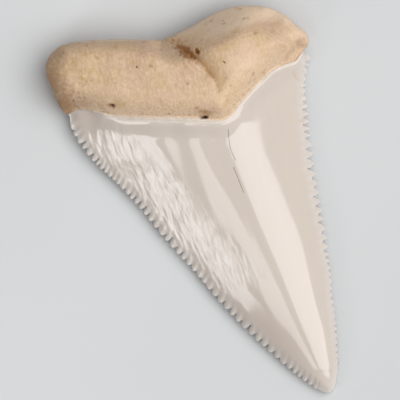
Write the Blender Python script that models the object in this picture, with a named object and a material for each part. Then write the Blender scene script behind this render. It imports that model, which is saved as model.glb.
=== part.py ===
"""Fossil great white shark tooth, lying on its flat outer face.

Metres, +Z up. The tip points along -Y and the root along +Y. The origin is the middle
of the tooth's outline, at the height of the surface that it lies on.

The tooth is one solid, because root and crown grew together. It is an upper sheet (the
convex inner face, with the root's bulge and groove) and a lower sheet (the flat outer
face), joined along the serrated rim. Both sheets are Delaunay meshes whose points are
placed by the rim, the neck line and the groove, and whose heights come from formulas.
"""

import random

import bpy
import numpy as np
from mathutils import Vector
from mathutils.geometry import delaunay_2d_cdt

# Outline, seen from above, through the tips of the serrations
LEFT_EDGE = (
    (-0.01574, 0.01708), (-0.01582, 0.01528), (-0.01518, 0.01290), (-0.01408, 0.01050),
    (-0.01192, 0.00718), (-0.01002, 0.00372), (-0.00689, -0.00282), (-0.00468, -0.00686),
    (-0.00286, -0.01066), (0.00149, -0.01819), (0.00393, -0.02166), (0.00575, -0.02412),
    (0.00732, -0.02582),
)
RIGHT_EDGE = (
    (0.01640, 0.01800), (0.01688, 0.01736), (0.01692, 0.01653), (0.01600, 0.01497),
    (0.01543, 0.01319), (0.01496, 0.00967), (0.01435, 0.00550), (0.01396, 0.00156),
    (0.01344, -0.00582), (0.01297, -0.01014), (0.01228, -0.01457), (0.01173, -0.01888),
    (0.01088, -0.02301),
)
TIP = (
    (0.00784, -0.02610), (0.00828, -0.02642), (0.00872, -0.02653), (0.00926, -0.02630),
    (0.00973, -0.02567), (0.01017, -0.02470), (0.01055, -0.02369),
)
RIGHT_LOBE_END = (
    (0.01627, 0.01815), (0.01680, 0.01835), (0.01716, 0.01874), (0.01731, 0.01958),
    (0.01700, 0.02054), (0.01616, 0.02150), (0.01526, 0.02281), (0.01406, 0.02399),
)
RIGHT_LOBE_TOP = (
    (0.01406, 0.02399), (0.01276, 0.02478), (0.01087, 0.02542), (0.00867, 0.02576),
    (0.00659, 0.02561), (0.00472, 0.02516), (0.00284, 0.02466), (0.00113, 0.02428),
    (-0.00029, 0.02402), (-0.00158, 0.02378),
)
LEFT_LOBE_TOP = (
    (-0.00158, 0.02378), (-0.00220, 0.02405), (-0.00423, 0.02461), (-0.00806, 0.02559),
    (-0.01067, 0.02609), (-0.01305, 0.02637), (-0.01471, 0.02626), (-0.01616, 0.02551),
)
LEFT_LOBE_END = (
    (-0.01616, 0.02551), (-0.01700, 0.02433), (-0.01726, 0.02297), (-0.01702, 0.02129),
    (-0.01672, 0.01905), (-0.01642, 0.01816), (-0.01603, 0.01757), (-0.01559, 0.01741),
)

LOBES = (RIGHT_LOBE_END, RIGHT_LOBE_TOP, LEFT_LOBE_TOP, LEFT_LOBE_END)

# Lines on the inner face: where the root ends, the pale neck band under it, and the groove
NECK_LINE = (
    (-0.01559, 0.01741), (-0.01453, 0.01759), (-0.01237, 0.01701), (-0.01080, 0.01621),
    (-0.00919, 0.01561), (-0.00668, 0.01482), (-0.00350, 0.01393), (-0.00033, 0.01306),
    (0.00168, 0.01242), (0.00279, 0.01198), (0.00382, 0.01175), (0.00468, 0.01195),
    (0.00531, 0.01227), (0.00612, 0.01308), (0.00735, 0.01393), (0.00875, 0.01487),
    (0.01017, 0.01573), (0.01182, 0.01661), (0.01352, 0.01693), (0.01506, 0.01709),
    (0.01590, 0.01785), (0.01627, 0.01815), (0.01650, 0.01815),
)
GROOVE = (
    (-0.00158, 0.02378), (-0.00046, 0.02286), (0.00041, 0.02203), (0.00134, 0.02085),
    (0.00209, 0.02005), (0.00280, 0.01882), (0.00331, 0.01785), (0.00367, 0.01715),
    (0.00378, 0.01626), (0.00386, 0.01480),
)
GROOVE_DEPTHS = ((0.0, 0.0012), (0.002, 0.0020), (0.0045, 0.0020), (0.008, 0.0011), (0.0115, 0.0))
GROOVE_SPREAD = 0.0018
GROOVE_WALL = 0.0003

# Serrations: how many notches stand before a distance along each edge, and how deep they are
LEFT_NOTCHES = ((0, 0.0), (1, 0.0020), (6, 0.0071), (12, 0.0115), (18, 0.0168), (24, 0.0237),
                (30, 0.0298), (36, 0.0369), (42, 0.0438), (48, 0.0491))
RIGHT_NOTCHES = ((0, 0.0), (1, 0.0019), (6, 0.0062), (12, 0.0121), (18, 0.0196),
                 (24, 0.0268), (30, 0.0324), (36, 0.0378), (41, 0.0422))
LEFT_DEPTHS = ((0.0, 0.0001), (0.003, 0.0005), (0.007, 0.0007), (0.009, 0.0003), (0.012, 0.0003),
               (0.0155, 0.0008), (0.0195, 0.0004), (0.0215, 0.0009), (0.025, 0.0005),
               (0.029, 0.0004), (0.031, 0.0006), (0.036, 0.0008), (0.040, 0.0007),
               (0.043, 0.0004), (0.047, 0.0004), (0.0495, 0.0002))
RIGHT_DEPTHS = ((0.0, 0.0002), (0.002, 0.0007), (0.004, 0.0004), (0.0075, 0.0005),
                (0.0105, 0.0009), (0.0135, 0.0009), (0.018, 0.0007), (0.025, 0.0007),
                (0.028, 0.0004), (0.034, 0.00025), (0.040, 0.0002), (0.043, 0.0001))
# One serration from notch to notch, as shares of its length and height: it leans to the tip
SERRATION = ((0.0, 0.0), (0.34, 0.70), (0.62, 1.0), (0.82, 0.72))
SERRATION_HEART = (0.58, 0.25)
NOTCH_SHIFT = 0.12
DEPTH_CHANGE = 0.25
SERRATION_SEED = 7

# Heights of the crown
EDGE_HEIGHTS = ((-0.0265, 0.0012), (-0.010, 0.0013), (0.008, 0.0015), (0.018, 0.0022))
CREST = ((-0.0265, 0.00872), (0.0120, 0.0036))
CROWN_BULGE = ((-0.0265, 0.30), (-0.018, 0.23), (-0.008, 0.20), (0.004, 0.19), (0.014, 0.185))
INNER_POWER = 1.9
RIGHT_SWELL = ((-0.018, -0.9), (-0.006, 0.0), (0.006, 0.8))
OUTER_POWER = 2.2
TIP_LIFT = 0.0003
TIP_LIFT_FROM = -0.014

# Heights of the root
ROOT_RIM = 0.0042
ROOT_RIM_RISE = 0.005
ROOT_TOP = ((-0.0175, 0.0064), (-0.012, 0.0077), (-0.006, 0.0090), (0.000, 0.0102),
            (0.0035, 0.0106), (0.0070, 0.0102), (0.012, 0.0087), (0.0175, 0.0064))
RIM_ROLL = ((-0.0175, 0.0030), (-0.010, 0.0026), (-0.003, 0.0028), (0.001, 0.0036),
            (0.008, 0.0040), (0.014, 0.0034), (0.0175, 0.0028))
# The root's far side is a facet above the right lobe and a plain round on the left one
FACET = ((-0.003, 0.0), (0.001, 0.7), (0.012, 0.7), (0.017, 0.2))
FACET_KNEE = 0.22
NECK_ROLL = 0.0034
NECK_STEP = 0.0004
NECK_LEAST = 0.0002
NECK_WALL = 0.00025
OUTER_ROLL = 0.0030
OUTER_ROOT_FROM = 0.013
OUTER_ROOT_FULL = 0.017

# Fillet where the enamel rises to the neck band, which is about as wide as NECK_BAND
NECK_BAND = 0.0008
NECK_FILLET = 0.0005
NECK_FILLET_REACH = 0.00125

# Flat oval that the tooth lies on, and how the outer face rises around it
REST_CENTRE = (0.0020, 0.0075)
REST_RADII = (0.0060, 0.0110)
REST_SIDES = 36
REST_FADE = 1.0
OUTER_BOW = 0.0003

# The foramen beside the groove and the pit on the neck line: place, length, width, turn, depth
PITS = (
    ((0.00265, 0.02119), 0.00095, 0.00055, -1.25, 0.0010),
    ((0.00165, 0.01262), 0.00100, 0.00050, -0.28, 0.0005),
)
PIT_SIDES = 8
PIT_FLOOR = 0.45
PIT_GAP = 0.00012

# Mesh fineness
EDGE_STEP = 0.0008
LINE_STEP = 0.0007
INNER_RINGS = (0.0002, 0.0007, 0.0015, 0.0026)
OUTER_RINGS = (0.0006, 0.0018)
OUTER_RING_STEP = 0.0010
CROWN_RING_START = 0.0009
TIP_RING_START = 0.0001
RING_KEPT = 0.9
INNER_GRID = 0.00090
OUTER_GRID = 0.00150
CURVE_STEP = 0.0002
CLOSEST = 0.00028
EPSILON = 1e-7

ENAMEL_COLOUR = (0.76, 0.68, 0.60, 1.0)
ENAMEL_ROUGHNESS = 0.28
ROOT_COLOUR = (0.65, 0.47, 0.31, 1.0)
ROOT_ROUGHNESS = 0.62
OBJECT_NAME = "great_white_shark_tooth"


def profile(pairs, at):
    """A smooth curve through (position, value) pairs, held level past both ends."""
    places, values = np.array(pairs, float).T
    slopes = np.gradient(values, places)
    index = np.clip(np.searchsorted(places, at) - 1, 0, len(places) - 2)
    span = places[index + 1] - places[index]
    t = np.clip((at - places[index]) / span, 0.0, 1.0)
    start, end = values[index], values[index + 1]
    rise, fall = slopes[index] * span, slopes[index + 1] * span
    return (
        start * (1 + 2 * t) * (1 - t) ** 2
        + rise * t * (1 - t) ** 2
        + end * t * t * (3 - 2 * t)
        + fall * t * t * (t - 1)
    )


def smooth_step(share):
    share = np.clip(share, 0.0, 1.0)
    return share * share * (3 - 2 * share)


def roll(share):
    """A quarter round: steep at 0, level at 1."""
    share = np.clip(share, 0.0, 1.0)
    return np.sqrt(1 - (1 - share) ** 2)


def bevel(share):
    """A straight slope from 0 that turns level near 1 over a soft knee."""
    return np.maximum((1 + share - np.sqrt((1 - share) ** 2 + FACET_KNEE**2)) / 2, 0.0)


def dome(share):
    """A shallow round: twice as steep at 0 as a straight slope, level at 1."""
    return 1 - (1 - np.clip(share, 0.0, 1.0)) ** 2


def lengths_along(points):
    steps = np.hypot(*np.diff(points, axis=0).T)
    return np.concatenate([[0.0], np.cumsum(steps)])


def smooth_curve(points, step=CURVE_STEP):
    """The points joined by one smooth curve, as points that lie about step apart."""
    points = np.array(points, float)
    along = lengths_along(points)
    at = np.linspace(0.0, along[-1], int(np.ceil(along[-1] / step)) + 1)
    return np.column_stack([profile(np.column_stack([along, axis]), at) for axis in points.T])


def on_curve(curve, at):
    """Points at distances along a curve, and the directions that point to its left."""
    along = lengths_along(curve)
    places = np.column_stack([np.interp(at, along, axis) for axis in curve.T])
    slopes = np.column_stack([np.interp(at, along, np.gradient(axis, along)) for axis in curve.T])
    slopes /= np.hypot(*slopes.T)[:, None]
    return places, np.column_stack([-slopes[:, 1], slopes[:, 0]])


def nearest(line, points):
    """For each point: its distance to a line, how far along it that is, and its left side as +1."""
    start, step = line[:-1], np.diff(line, axis=0)
    length = np.hypot(*step.T)
    offset = points[:, None, :] - start[None]
    share = np.clip((offset * step).sum(-1) / length**2, 0.0, 1.0)
    gap = offset - share[..., None] * step
    distance = np.hypot(gap[..., 0], gap[..., 1])
    best = distance.argmin(axis=1)
    rows = np.arange(len(points))
    along = lengths_along(line)[best] + share[rows, best] * length[best]
    cross = step[best, 0] * offset[rows, best, 1] - step[best, 1] * offset[rows, best, 0]
    return distance[rows, best], along, np.where(cross >= 0, 1.0, -1.0)


def serrated(edge, notches, depths, inward, chance):
    """A cutting edge's serrated rim, from root to tip, and a point in the heart of each serration."""
    counts, distances = np.array(notches, float).T
    count = int(counts[-1])
    stations = np.interp(np.arange(count + 1), counts, distances)
    pitch = np.diff(stations)
    for i in range(1, count):
        stations[i] += chance.uniform(-NOTCH_SHIFT, NOTCH_SHIFT) * pitch[i]
    at, cut = [], []
    for i in range(count):
        depth = profile(depths, stations[i]) * chance.uniform(1 - DEPTH_CHANGE, 1 + DEPTH_CHANGE)
        for share, height in (*SERRATION, SERRATION_HEART):
            at.append(stations[i] + share * (stations[i + 1] - stations[i]))
            cut.append(depth * (1 - height))
    places, left = on_curve(edge, np.array(at))
    places += left * np.array(cut)[:, None] * inward
    each = places.reshape(count, len(SERRATION) + 1, 2)
    return each[:, :-1].reshape(-1, 2), each[:, -1]


class Outline:
    """The rim seen from above, anticlockwise, and the smooth lines that the heights use."""

    def __init__(self):
        chance = random.Random(SERRATION_SEED)
        self.left = smooth_curve(LEFT_EDGE)
        self.right = smooth_curve(RIGHT_EDGE)
        self.tip = smooth_curve(TIP)
        self.lobes = [smooth_curve(side) for side in LOBES]
        self.neck = smooth_curve(NECK_LINE)
        self.groove = smooth_curve(GROOVE)
        left_teeth, left_hearts = serrated(self.left, LEFT_NOTCHES, LEFT_DEPTHS, 1, chance)
        right_teeth, right_hearts = serrated(self.right, RIGHT_NOTCHES, RIGHT_DEPTHS, -1, chance)
        tip = smooth_curve(TIP, EDGE_STEP / 2)
        lobes = [smooth_curve(side, EDGE_STEP)[:-1] for side in LOBES]
        self.rim = np.vstack([left_teeth, tip, right_teeth[:0:-1], *lobes])
        self.hearts = np.vstack([left_hearts, right_hearts])
        first = np.arange(len(left_hearts)) * len(SERRATION)
        last = len(left_teeth) + len(tip) + len(right_teeth) - 1
        self.spokes = [[i + k for k in range(len(SERRATION) + 1)] for i in first]
        first = np.arange(len(right_hearts)) * len(SERRATION)
        self.spokes += [[last - i - k for k in range(len(SERRATION) + 1)] for i in first]
        lobe_rim = [side[:-1] for side in self.lobes]
        self.smooth_rim = np.vstack([self.left, self.tip, self.right[::-1], *lobe_rim])
        lowest = self.tip[:, 1].argmin()
        self.left_rows = np.vstack([self.tip[:lowest + 1][::-1], self.left[::-1]])
        self.right_rows = np.vstack([self.tip[lowest:], self.right[::-1]])


def crown_rows(outline, points):
    """Each point's share of the way from the crest to the edge beside it, and its row's width."""
    rows = points[:, 1]
    left = np.interp(rows, outline.left_rows[:, 1], outline.left_rows[:, 0])
    right = np.interp(rows, outline.right_rows[:, 1], outline.right_rows[:, 0])
    crest = np.clip(crest_line(rows), left + EPSILON, right - EPSILON)
    share = np.where(
        points[:, 0] < crest,
        (crest - points[:, 0]) / (crest - left),
        (points[:, 0] - crest) / (right - crest),
    )
    return np.clip(share, 0.0, 1.0), right - left


def crest_line(rows):
    places, offsets = np.array(CREST).T
    return np.interp(rows, places, offsets)


def rim_heights(outline, points):
    distance, _, side = nearest(outline.neck, points)
    above = smooth_step(np.where(side > 0, distance, 0.0) / ROOT_RIM_RISE)
    return profile(EDGE_HEIGHTS, points[:, 1]) * (1 - above) + ROOT_RIM * above


def crown_tops(outline, points):
    share, width = crown_rows(outline, points)
    bulge = width * profile(CROWN_BULGE, points[:, 1])
    right = np.where(points[:, 0] > crest_line(points[:, 1]), profile(RIGHT_SWELL, points[:, 1]), 0.0)
    drop = share**INNER_POWER + right * share**2 * (1 - share)
    return profile(EDGE_HEIGHTS, points[:, 1]) + bulge * (1 - drop)


def pit_depths(points):
    cut = np.zeros(len(points))
    for centre, length, width, turn, depth in PITS:
        reach = pit_share(points, centre, length, width, turn)
        cut += depth * (1 - smooth_step((reach - PIT_FLOOR) / (1 - PIT_FLOOR)))
    return cut


def pit_share(points, centre, length, width, turn):
    """Distance from a pit's middle, where 1 is its rim."""
    offset = points - np.array(centre)
    along = offset[:, 0] * np.cos(turn) + offset[:, 1] * np.sin(turn)
    across = offset[:, 1] * np.cos(turn) - offset[:, 0] * np.sin(turn)
    return np.hypot(along / (length / 2), across / (width / 2))


def inner_heights(outline, points):
    """The upper sheet: crown, neck step, root bulge, groove and pits."""
    crown = crown_tops(outline, points)
    below, _, above = nearest(outline.neck, points)
    on_root = (above > 0) | (below < NECK_WALL / 2)
    from_band = np.maximum(below - NECK_BAND, 0.0) / NECK_FILLET_REACH
    fillet = NECK_FILLET * np.exp(-from_band**2)

    rim = rim_heights(outline, points)
    risen = np.ones(len(points))
    faceted = profile(FACET, points[:, 0])
    for side in outline.lobes:
        share = nearest(side, points)[0] / profile(RIM_ROLL, points[:, 0])
        risen *= roll(share) * (1 - faceted) + bevel(share) * faceted
    from_neck = dome(below / NECK_ROLL)
    bulge = np.maximum(crown + NECK_STEP - rim, NECK_LEAST) * (1 - from_neck)
    bulge += (profile(ROOT_TOP, points[:, 0]) - rim) * from_neck
    root = rim + risen * bulge

    beside, along, groove_side = nearest(outline.groove, points)
    sunk = (groove_side > 0) & (beside > GROOVE_WALL / 2)
    depth = profile(GROOVE_DEPTHS, along) * np.exp(-beside / GROOVE_SPREAD)
    root -= np.where(sunk, depth * risen, 0.0)
    return np.where(on_root, root, crown + fillet) - pit_depths(points)


def outer_heights(outline, points):
    """The lower sheet: flat where the tooth lies, rising to the rim all round."""
    share, _ = crown_rows(outline, points)
    root = 1 - np.prod([roll(nearest(side, points)[0] / OUTER_ROLL) for side in outline.lobes], 0)
    rooted = smooth_step((points[:, 1] - OUTER_ROOT_FROM) / (OUTER_ROOT_FULL - OUTER_ROOT_FROM))
    raised = share**OUTER_POWER * (1 - rooted) + root * rooted
    lift = TIP_LIFT * smooth_step((TIP_LIFT_FROM - points[:, 1]) / -TIP_LIFT_FROM)
    reach = np.hypot(*((points - REST_CENTRE) / REST_RADII).T)
    away = smooth_step((reach - 1) / REST_FADE)
    return (rim_heights(outline, points) * raised + lift + OUTER_BOW * (1 - raised)) * away


def inside(loop, points):
    """Which points lie inside a closed loop, by counting the sides that a ray crosses."""
    start, end = loop, np.roll(loop, -1, axis=0)
    x, y = points[:, None, 0], points[:, None, 1]
    spans = (start[:, 1] > y) != (end[:, 1] > y)
    drop = np.where(end[:, 1] == start[:, 1], EPSILON, end[:, 1] - start[:, 1])
    crossing = start[:, 0] + (y - start[:, 1]) / drop * (end[:, 0] - start[:, 0])
    return (spans & (x < crossing)).sum(axis=1) % 2 == 1


def ring(outline, inset, step):
    """Points at an even inset from the rim, further in along the serrated edges."""
    found = []
    for curve, start in (
        (outline.left, CROWN_RING_START),
        (outline.tip, TIP_RING_START),
        (outline.right[::-1], CROWN_RING_START),
        *((side, 0.0) for side in outline.lobes),
    ):
        length = lengths_along(curve)[-1]
        places, left = on_curve(curve, np.arange(step / 2, length, step))
        moved = places + left * (inset + start)
        distance, _, _ = nearest(outline.smooth_rim, moved)
        clear = distance > RING_KEPT * (inset + start)
        found.append(moved[clear & inside(outline.smooth_rim, moved)])
    return np.vstack(found)


def grid(outline, step, margin):
    """Points in a triangular grid over the whole outline, clear of the rim."""
    low, high = outline.rim.min(axis=0), outline.rim.max(axis=0)
    rise = step * np.sqrt(3) / 2
    found = []
    for i, y in enumerate(np.arange(low[1], high[1], rise)):
        row = np.arange(low[0] + step / 2 * (i % 2), high[0], step)
        found.append(np.column_stack([row, np.full(len(row), y)]))
    points = np.vstack(found)
    distance, _, _ = nearest(outline.smooth_rim, points)
    return points[(distance > margin) & inside(outline.smooth_rim, points)]


def oval(centre, radii, turn, count):
    angles = np.arange(count) * 2 * np.pi / count
    across, up = radii[0] * np.cos(angles), radii[1] * np.sin(angles)
    return np.column_stack([
        centre[0] + across * np.cos(turn) - up * np.sin(turn),
        centre[1] + across * np.sin(turn) + up * np.cos(turn),
    ])


def paired_line(curve, offset, step):
    """A line and its neighbour to the right, which hold a step in the surface between them."""
    length = lengths_along(curve)[-1]
    at = np.linspace(0.0, length, int(length / step) + 1)[1:-1]
    places, left = on_curve(curve, at)
    return places, places - left * offset


def thinned(points, kept, gap):
    """Points no closer than gap to those kept before them."""
    clear = np.ones(len(points), bool)
    for other in kept:
        apart = np.hypot(*(points[:, None] - other[None]).transpose(2, 0, 1))
        clear &= apart.min(axis=1) > gap
    return points[clear]


def sheet(outline, lines, loose):
    """Triangles over the outline, with edges along the lines: the points and the faces."""
    points = [outline.rim, outline.hearts]
    count = len(outline.rim)
    edges = [(count + i, end) for i, ends in enumerate(outline.spokes) for end in ends]
    count += len(outline.hearts)
    for line in lines:
        edges += [(count + i, count + i + 1) for i in range(len(line) - 1)]
        points.append(line)
        count += len(line)
    for group, gap in loose:
        points.append(thinned(group, [other for other in points if len(other)], gap))
    flat = [Vector(point) for point in np.vstack(points)]
    rim_face = [list(range(len(outline.rim)))]
    made, _, faces, _, _, _ = delaunay_2d_cdt(flat, edges, rim_face, 1, EPSILON)
    return np.array([tuple(point) for point in made]), faces


def tooth_mesh(outline):
    """Both sheets joined along the rim into one closed mesh."""
    neck = paired_line(outline.neck, NECK_WALL, LINE_STEP)
    groove = paired_line(outline.groove, -GROOVE_WALL, LINE_STEP)
    pits = np.vstack([
        oval(centre, (length / 2 * share, width / 2 * share), turn, PIT_SIDES)
        for centre, length, width, turn, _ in PITS for share in (1.0, PIT_FLOOR)
    ])
    inner_loose = [(pits, PIT_GAP)]
    inner_loose += [(ring(outline, inset, LINE_STEP), CLOSEST) for inset in INNER_RINGS]
    margin = INNER_RINGS[-1] + INNER_GRID / 2
    inner_loose.append((grid(outline, INNER_GRID, margin), INNER_GRID / 2))
    inner, inner_faces = sheet(outline, [*neck, *groove], inner_loose)

    rest = oval(REST_CENTRE, REST_RADII, 0.0, REST_SIDES)
    outer_loose = [(rest, CLOSEST)]
    outer_loose += [(ring(outline, inset, OUTER_RING_STEP), CLOSEST) for inset in OUTER_RINGS]
    margin = OUTER_RINGS[-1] + OUTER_GRID / 2
    outer_loose.append((grid(outline, OUTER_GRID, margin), OUTER_GRID / 2))
    outer, outer_faces = sheet(outline, [], outer_loose)

    rim_count = len(outline.rim)
    rim = rim_heights(outline, outline.rim)
    tops = inner_heights(outline, inner)
    tops[:rim_count] = rim
    bottoms = outer_heights(outline, outer)
    points = np.vstack([
        np.column_stack([inner, tops]),
        np.column_stack([outer, bottoms])[rim_count:],
    ])
    shift = len(inner) - rim_count
    lower = [
        [i if i < rim_count else i + shift for i in reversed(face)] for face in outer_faces
    ]
    mesh = bpy.data.meshes.new("tooth")
    mesh.from_pydata(points.tolist(), [], [list(face) for face in inner_faces] + lower)
    return mesh


def finish(name, colour, roughness):
    material = bpy.data.materials.new(name)
    material.use_nodes = True
    shader = material.node_tree.nodes["Principled BSDF"]
    shader.inputs["Base Color"].default_value = colour
    shader.inputs["Roughness"].default_value = roughness
    shader.inputs["Metallic"].default_value = 0.0
    return material


def build_tooth(collection):
    outline = Outline()
    mesh = tooth_mesh(outline)
    mesh.materials.append(finish("enamel", ENAMEL_COLOUR, ENAMEL_ROUGHNESS))
    mesh.materials.append(finish("root", ROOT_COLOUR, ROOT_ROUGHNESS))
    middles = np.array([tuple(face.center)[:2] for face in mesh.polygons])
    _, _, above = nearest(outline.neck, middles)
    for face, inner_root in zip(mesh.polygons, above > 0):
        outer_root = face.center.y > (OUTER_ROOT_FROM + OUTER_ROOT_FULL) / 2
        face.material_index = int(inner_root if face.normal.z > 0 else outer_root)
    mesh.shade_smooth()
    tooth = bpy.data.objects.new("tooth", mesh)
    collection.objects.link(tooth)
    return tooth


def main():
    for old in list(bpy.data.objects):
        bpy.data.objects.remove(old, do_unlink=True)
    collection = bpy.data.collections.new(OBJECT_NAME)
    bpy.context.scene.collection.children.link(collection)
    build_tooth(collection)


main()
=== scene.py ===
"""Looks of the fossil great white shark tooth: enamel crown, neck band, porous root, stage.

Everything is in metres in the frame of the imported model: the tip points along -Y, the
root along +Y, and the tooth lies on z = 0 with its convex inner face up.
"""

import math
import random

import bpy
import numpy as np
from mathutils import Matrix, Vector, noise
from mathutils.geometry import delaunay_2d_cdt
from mathutils.kdtree import KDTree


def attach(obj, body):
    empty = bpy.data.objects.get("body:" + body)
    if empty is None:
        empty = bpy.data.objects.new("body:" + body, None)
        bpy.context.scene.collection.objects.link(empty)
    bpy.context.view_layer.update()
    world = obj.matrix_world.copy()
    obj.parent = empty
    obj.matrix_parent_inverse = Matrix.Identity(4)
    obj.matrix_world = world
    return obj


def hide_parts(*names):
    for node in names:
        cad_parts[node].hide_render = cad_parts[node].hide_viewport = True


bl_info = {
    "name": "Fossil Shark Tooth",
    "version": (1, 0, 0),
    "blender": (4, 5, 0),
    "location": "3D View > Sidebar > Tooth",
    "description": "Builds the detailed shark tooth over its solid, and a photo stage around it",
    "category": "Object",
}

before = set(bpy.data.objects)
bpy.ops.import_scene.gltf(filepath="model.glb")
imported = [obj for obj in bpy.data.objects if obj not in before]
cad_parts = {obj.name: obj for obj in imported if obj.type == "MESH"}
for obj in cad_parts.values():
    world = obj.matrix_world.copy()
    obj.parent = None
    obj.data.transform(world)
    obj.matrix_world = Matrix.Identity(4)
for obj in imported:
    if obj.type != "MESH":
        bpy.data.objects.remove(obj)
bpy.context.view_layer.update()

# Outline, seen from above, through the tips of the serrations
LEFT_EDGE = (
    (-0.01574, 0.01708), (-0.01582, 0.01528), (-0.01518, 0.01290), (-0.01408, 0.01050),
    (-0.01192, 0.00718), (-0.01002, 0.00372), (-0.00689, -0.00282), (-0.00468, -0.00686),
    (-0.00286, -0.01066), (0.00149, -0.01819), (0.00393, -0.02166), (0.00575, -0.02412),
    (0.00732, -0.02582),
)
RIGHT_EDGE = (
    (0.01640, 0.01800), (0.01688, 0.01736), (0.01692, 0.01653), (0.01600, 0.01497),
    (0.01543, 0.01319), (0.01496, 0.00967), (0.01435, 0.00550), (0.01396, 0.00156),
    (0.01344, -0.00582), (0.01297, -0.01014), (0.01228, -0.01457), (0.01173, -0.01888),
    (0.01088, -0.02301),
)
TIP = (
    (0.00784, -0.02610), (0.00828, -0.02642), (0.00872, -0.02653), (0.00926, -0.02630),
    (0.00973, -0.02567), (0.01017, -0.02470), (0.01055, -0.02369),
)
RIGHT_LOBE_END = (
    (0.01627, 0.01815), (0.01680, 0.01835), (0.01716, 0.01874), (0.01731, 0.01958),
    (0.01700, 0.02054), (0.01616, 0.02150), (0.01526, 0.02281), (0.01406, 0.02399),
)
RIGHT_LOBE_TOP = (
    (0.01406, 0.02399), (0.01276, 0.02478), (0.01087, 0.02542), (0.00867, 0.02576),
    (0.00659, 0.02561), (0.00472, 0.02516), (0.00284, 0.02466), (0.00113, 0.02428),
    (-0.00029, 0.02402), (-0.00158, 0.02378),
)
LEFT_LOBE_TOP = (
    (-0.00158, 0.02378), (-0.00220, 0.02405), (-0.00423, 0.02461), (-0.00806, 0.02559),
    (-0.01067, 0.02609), (-0.01305, 0.02637), (-0.01471, 0.02626), (-0.01616, 0.02551),
)
LEFT_LOBE_END = (
    (-0.01616, 0.02551), (-0.01700, 0.02433), (-0.01726, 0.02297), (-0.01702, 0.02129),
    (-0.01672, 0.01905), (-0.01642, 0.01816), (-0.01603, 0.01757), (-0.01559, 0.01741),
)
LOBES = (RIGHT_LOBE_END, RIGHT_LOBE_TOP, LEFT_LOBE_TOP, LEFT_LOBE_END)

# Lines on the inner face: where the root ends, where the neck band ends, and the groove with
# its depths along the way, and how dark it is painted: ochre stain with painted shade in the recess
NECK_LINE = (
    (-0.01559, 0.01741), (-0.01453, 0.01759), (-0.01237, 0.01701), (-0.01080, 0.01621),
    (-0.00919, 0.01561), (-0.00668, 0.01482), (-0.00350, 0.01393), (-0.00033, 0.01306),
    (0.00168, 0.01242), (0.00279, 0.01198), (0.00382, 0.01175), (0.00468, 0.01195),
    (0.00531, 0.01227), (0.00612, 0.01308), (0.00735, 0.01393), (0.00875, 0.01487),
    (0.01017, 0.01573), (0.01182, 0.01661), (0.01352, 0.01693), (0.01506, 0.01709),
    (0.01590, 0.01785), (0.01627, 0.01815), (0.01650, 0.01815),
)
BAND_LINE = (
    (-0.01110, 0.01610), (-0.01026, 0.01560), (-0.00959, 0.01510), (-0.00812, 0.01446),
    (-0.00659, 0.01403), (-0.00434, 0.01344), (-0.00199, 0.01275), (0.00028, 0.01208),
    (0.00190, 0.01163), (0.00334, 0.01132), (0.00424, 0.01135), (0.00507, 0.01172),
    (0.00583, 0.01220), (0.00701, 0.01313), (0.00896, 0.01441), (0.01038, 0.01521),
    (0.01196, 0.01610), (0.01354, 0.01645), (0.01500, 0.01662), (0.01585, 0.01740),
)
GROOVE = (
    (-0.00158, 0.02378), (-0.00046, 0.02286), (0.00041, 0.02203), (0.00134, 0.02085),
    (0.00209, 0.02005), (0.00280, 0.01882), (0.00331, 0.01785), (0.00367, 0.01715),
    (0.00378, 0.01626), (0.00386, 0.01480),
)
GROOVE_DEPTHS = ((0.0, 0.0012), (0.002, 0.0021), (0.0045, 0.0022), (0.008, 0.0014), (0.0115, 0.0))
GROOVE_SPREAD = 0.0015
GROOVE_SHADE = ((0.0, 0.5), (0.002, 1.0), (0.006, 1.0), (0.009, 0.7), (0.0115, 0.0))
GROOVE_SHADE_REACH = 0.0011
GROOVE_WALL = 0.0003

# Where the enamel ends on the outer face, which the tooth lies on
OUTER_NECK_LINE = (
    (-0.01480, 0.01700), (-0.01100, 0.01640), (-0.00600, 0.01480), (0.00000, 0.01370),
    (0.00450, 0.01380), (0.00900, 0.01500), (0.01300, 0.01640), (0.01560, 0.01760),
)

# Serrations: how many notches stand before a distance along each edge, and how deep they are
LEFT_NOTCHES = ((0, 0.0), (1, 0.0020), (6, 0.0071), (12, 0.0115), (18, 0.0168), (24, 0.0237),
                (30, 0.0298), (36, 0.0369), (42, 0.0438), (48, 0.0491))
RIGHT_NOTCHES = ((0, 0.0), (1, 0.0019), (6, 0.0062), (12, 0.0121), (18, 0.0196),
                 (24, 0.0268), (30, 0.0324), (36, 0.0378), (41, 0.0422))
LEFT_DEPTHS = ((0.0, 0.0001), (0.003, 0.0005), (0.007, 0.0007), (0.009, 0.0003), (0.012, 0.0003),
               (0.0155, 0.0008), (0.0195, 0.0004), (0.0215, 0.0009), (0.025, 0.0005),
               (0.029, 0.0004), (0.031, 0.0006), (0.036, 0.0008), (0.040, 0.0007),
               (0.043, 0.0004), (0.047, 0.0004), (0.0495, 0.0002))
RIGHT_DEPTHS = ((0.0, 0.0002), (0.002, 0.0007), (0.004, 0.0004), (0.0075, 0.0005),
                (0.0105, 0.0009), (0.0135, 0.0009), (0.018, 0.0007), (0.025, 0.0007),
                (0.028, 0.0004), (0.034, 0.00025), (0.040, 0.0002), (0.043, 0.0001))
SERRATION_PEAK = 0.62
# The lower this power, the fuller the serrations
LEFT_FULLNESS = 0.62
RIGHT_FULLNESS = 0.85
SERRATION_POINTS = 10
NOTCH_SHIFT = 0.12
DEPTH_CHANGE = 0.25
SERRATION_SEED = 7

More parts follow.
